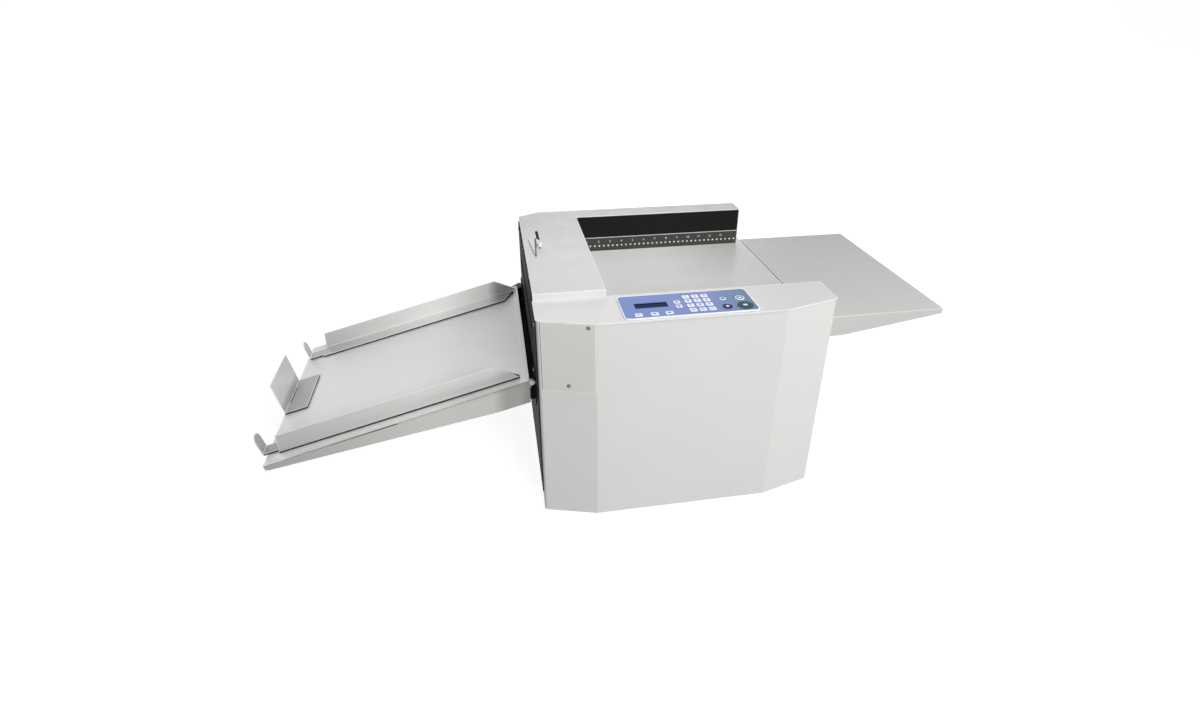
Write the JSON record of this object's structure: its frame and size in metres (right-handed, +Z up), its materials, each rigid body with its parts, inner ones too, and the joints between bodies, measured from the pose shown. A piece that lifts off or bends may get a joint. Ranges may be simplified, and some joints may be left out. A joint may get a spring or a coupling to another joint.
{
  "type": "automatic sheet creaser",
  "caption": "Desktop sheet creaser: keypad console, flat infeed table, roller nips and a cam-lifted crease knife under a bridge, and a sloping delivery tray with sliding guides.",
  "frame": {"origin": "centre of the whole machine's bounding box, on the bench", "axes": "+X from the delivery tray towards the infeed table, +Y from the keypad towards the rear housing, +Z up"},
  "size_m": [1.2454, 0.523, 0.418],
  "materials": {
    "cover_paint": "warm light grey powder coat, fine texture",
    "sheet_paint": "mid grey satin coat",
    "black_paint": "black satin coat",
    "frame_steel": "zinc plated plate",
    "bright_steel": "ground or turned steel",
    "roller_rubber": "ground rubber sleeves on a steel shaft",
    "gear_plastic": "moulded gear plastic",
    "foot_rubber": "moulded rubber",
    "scale_print": "dark strip printed in white",
    "overlay_film": "printed film, blue with a white border",
    "display_face": "dark display on its board",
    "motor_black": "black painted motor body",
    "case_zinc": "zinc plated case",
    "board_green": "circuit board",
    "inlet_black": "moulded black",
    "lever_coat": "light grey coat, black index line, white knob",
    "key_white": "white key film",
    "key_green": "dark green key",
    "key_red": "dark red key"
  },
  "bodies": {
    "machine": {"base_plate": "frame_steel", "feet": "foot_rubber", "front_frame": "frame_steel", "rear_frame": "frame_steel", "tie_bars": "bright_steel", "front_cover": "cover_paint", "console_lid": "cover_paint", "inspection_plate": "cover_paint", "bridge_cover": "cover_paint", "rear_fence": "black_paint", "scale_strip": "scale_print", "rear_cover": "cover_paint", "left_panel": "black_paint", "infeed_table": "sheet_paint", "extension_table": "sheet_paint", "case_screws": "bright_steel", "control_overlay": "overlay_film", "display_module": "display_face", "frame_bearings": "bright_steel", "matrix_bar": "bright_steel", "drive_motors": "motor_black", "power_supply": "case_zinc", "main_board": "board_green", "power_inlet": "inlet_black", "tray_brackets": "black_paint"},
    "tray": {"delivery_tray": "sheet_paint"},
    "near_guide": {"near_guide": "sheet_paint"},
    "far_guide": {"far_guide": "sheet_paint"},
    "end_stop": {"stop_plate": "sheet_paint"},
    "lever": {"nip_slider": "lever_coat"},
    "camshaft": {"camshaft": "bright_steel"},
    "crease_beam": {"crease_beam": "bright_steel", "crease_knife": "bright_steel"},
    "infeed_drive": {"infeed_drive_roller": "roller_rubber"},
    "outfeed_drive": {"outfeed_drive_roller": "roller_rubber"},
    "infeed_pinch": {"infeed_pinch_roller": "roller_rubber"},
    "outfeed_pinch": {"outfeed_pinch_roller": "roller_rubber"},
    "idler": {"idler_gear": "gear_plastic"},
    "rocker": {"power_rocker": "inlet_black"},
    "key_1": {"key_1": "key_white"},
    "key_2": {"key_2": "key_white"},
    "key_3": {"key_3": "key_white"},
    "key_4": {"key_4": "key_white"},
    "key_5": {"key_5": "key_white"},
    "key_6": {"key_6": "key_white"},
    "key_7": {"key_7": "key_white"},
    "key_8": {"key_8": "key_white"},
    "key_9": {"key_9": "key_white"},
    "key_clear": {"key_clear": "key_white"},
    "key_0": {"key_0": "key_white"},
    "key_enter": {"key_enter": "key_white"},
    "key_up": {"key_up": "key_white"},
    "key_down": {"key_down": "key_white"},
    "key_mode": {"key_mode": "key_white"},
    "key_store": {"key_store": "key_white"},
    "key_recall": {"key_recall": "key_white"},
    "key_test": {"key_test": "key_white"},
    "key_reset": {"key_reset": "key_white"},
    "key_stop": {"key_stop": "key_red"},
    "key_start": {"key_start": "key_green"}
  },
  "joints": [
    {"name": "tray_lift", "type": "hinge", "parent": "machine", "child": "tray", "pos_m": [-0.14333, 0.029, 0.25], "axis": [0, 1, 0], "range_deg": [0, 35]},
    {"name": "near_guide_slide", "type": "slide", "parent": "tray", "child": "near_guide", "axis": [0, 1, 0], "range_m": [0, 0.078]},
    {"name": "far_guide_slide", "type": "slide", "parent": "tray", "child": "far_guide", "axis": [0, -1, 0], "range_m": [0, 0.078]},
    {"name": "end_stop_slide", "type": "slide", "parent": "tray", "child": "end_stop", "axis": [0.9673, 0, 0.2538], "range_m": [0, 0.3]},
    {"name": "lever_slide", "type": "slide", "parent": "machine", "child": "lever", "axis": [0, 1, 0], "range_m": [0, 0.08]},
    {"name": "camshaft_turn", "type": "hinge", "parent": "machine", "child": "camshaft", "pos_m": [-0.07333, 0, 0.224], "axis": [0, 1, 0], "range_deg": [0, 150.1]},
    {"name": "crease_beam_lift", "type": "slide", "parent": "machine", "child": "crease_beam", "axis": [0, 0, 1], "range_m": [0, 0.006]},
    {"name": "infeed_drive_spin", "type": "hinge", "parent": "machine", "child": "infeed_drive", "pos_m": [-0.03733, 0, 0.3161], "axis": [0, 1, 0], "continuous": true},
    {"name": "outfeed_drive_spin", "type": "hinge", "parent": "machine", "child": "outfeed_drive", "pos_m": [-0.10933, 0, 0.3161], "axis": [0, 1, 0], "continuous": true},
    {"name": "infeed_pinch_spin", "type": "hinge", "parent": "machine", "child": "infeed_pinch", "pos_m": [-0.03733, 0, 0.3463], "axis": [0, 1, 0], "continuous": true},
    {"name": "outfeed_pinch_spin", "type": "hinge", "parent": "machine", "child": "outfeed_pinch", "pos_m": [-0.10933, 0, 0.3463], "axis": [0, 1, 0], "continuous": true},
    {"name": "idler_spin", "type": "hinge", "parent": "machine", "child": "idler", "pos_m": [-0.07333, 0, 0.3161], "axis": [0, 1, 0], "continuous": true},
    {"name": "power_rocker_tilt", "type": "hinge", "parent": "machine", "child": "rocker", "pos_m": [0.28567, 0.2542, 0.098], "axis": [1, 0, 0], "range_deg": [0, 14]},
    {"name": "key_1_press", "type": "slide", "parent": "machine", "child": "key_1", "axis": [0, 0, -1], "range_m": [0, 0.0005], "stiffness_N_per_m": 400},
    {"name": "key_2_press", "type": "slide", "parent": "machine", "child": "key_2", "axis": [0, 0, -1], "range_m": [0, 0.0005], "stiffness_N_per_m": 400},
    {"name": "key_3_press", "type": "slide", "parent": "machine", "child": "key_3", "axis": [0, 0, -1], "range_m": [0, 0.0005], "stiffness_N_per_m": 400},
    {"name": "key_4_press", "type": "slide", "parent": "machine", "child": "key_4", "axis": [0, 0, -1], "range_m": [0, 0.0005], "stiffness_N_per_m": 400},
    {"name": "key_5_press", "type": "slide", "parent": "machine", "child": "key_5", "axis": [0, 0, -1], "range_m": [0, 0.0005], "stiffness_N_per_m": 400},
    {"name": "key_6_press", "type": "slide", "parent": "machine", "child": "key_6", "axis": [0, 0, -1], "range_m": [0, 0.0005], "stiffness_N_per_m": 400},
    {"name": "key_7_press", "type": "slide", "parent": "machine", "child": "key_7", "axis": [0, 0, -1], "range_m": [0, 0.0005], "stiffness_N_per_m": 400},
    {"name": "key_8_press", "type": "slide", "parent": "machine", "child": "key_8", "axis": [0, 0, -1], "range_m": [0, 0.0005], "stiffness_N_per_m": 400},
    {"name": "key_9_press", "type": "slide", "parent": "machine", "child": "key_9", "axis": [0, 0, -1], "range_m": [0, 0.0005], "stiffness_N_per_m": 400},
    {"name": "key_clear_press", "type": "slide", "parent": "machine", "child": "key_clear", "axis": [0, 0, -1], "range_m": [0, 0.0005], "stiffness_N_per_m": 400},
    {"name": "key_0_press", "type": "slide", "parent": "machine", "child": "key_0", "axis": [0, 0, -1], "range_m": [0, 0.0005], "stiffness_N_per_m": 400},
    {"name": "key_enter_press", "type": "slide", "parent": "machine", "child": "key_enter", "axis": [0, 0, -1], "range_m": [0, 0.0005], "stiffness_N_per_m": 400},
    {"name": "key_up_press", "type": "slide", "parent": "machine", "child": "key_up", "axis": [0, 0, -1], "range_m": [0, 0.0005], "stiffness_N_per_m": 400},
    {"name": "key_down_press", "type": "slide", "parent": "machine", "child": "key_down", "axis": [0, 0, -1], "range_m": [0, 0.0005], "stiffness_N_per_m": 400},
    {"name": "key_mode_press", "type": "slide", "parent": "machine", "child": "key_mode", "axis": [0, 0, -1], "range_m": [0, 0.0005], "stiffness_N_per_m": 400},
    {"name": "key_store_press", "type": "slide", "parent": "machine", "child": "key_store", "axis": [0, 0, -1], "range_m": [0, 0.0005], "stiffness_N_per_m": 400},
    {"name": "key_recall_press", "type": "slide", "parent": "machine", "child": "key_recall", "axis": [0, 0, -1], "range_m": [0, 0.0005], "stiffness_N_per_m": 400},
    {"name": "key_test_press", "type": "slide", "parent": "machine", "child": "key_test", "axis": [0, 0, -1], "range_m": [0, 0.0005], "stiffness_N_per_m": 400},
    {"name": "key_reset_press", "type": "slide", "parent": "machine", "child": "key_reset", "axis": [0, 0, -1], "range_m": [0, 0.0005], "stiffness_N_per_m": 400},
    {"name": "key_stop_press", "type": "slide", "parent": "machine", "child": "key_stop", "axis": [0, 0, -1], "range_m": [0, 0.0005], "stiffness_N_per_m": 400},
    {"name": "key_start_press", "type": "slide", "parent": "machine", "child": "key_start", "axis": [0, 0, -1], "range_m": [0, 0.0005], "stiffness_N_per_m": 400}
  ],
  "couplings": [
    {"joint": "camshaft_turn", "follows": "crease_beam_lift", "rad_per_m": 436.33},
    {"joint": "outfeed_drive_spin", "follows": "infeed_drive_spin", "ratio": 1},
    {"joint": "infeed_pinch_spin", "follows": "infeed_drive_spin", "ratio": -1},
    {"joint": "outfeed_pinch_spin", "follows": "infeed_drive_spin", "ratio": -1},
    {"joint": "idler_spin", "follows": "infeed_drive_spin", "ratio": -0.71429}
  ]
}
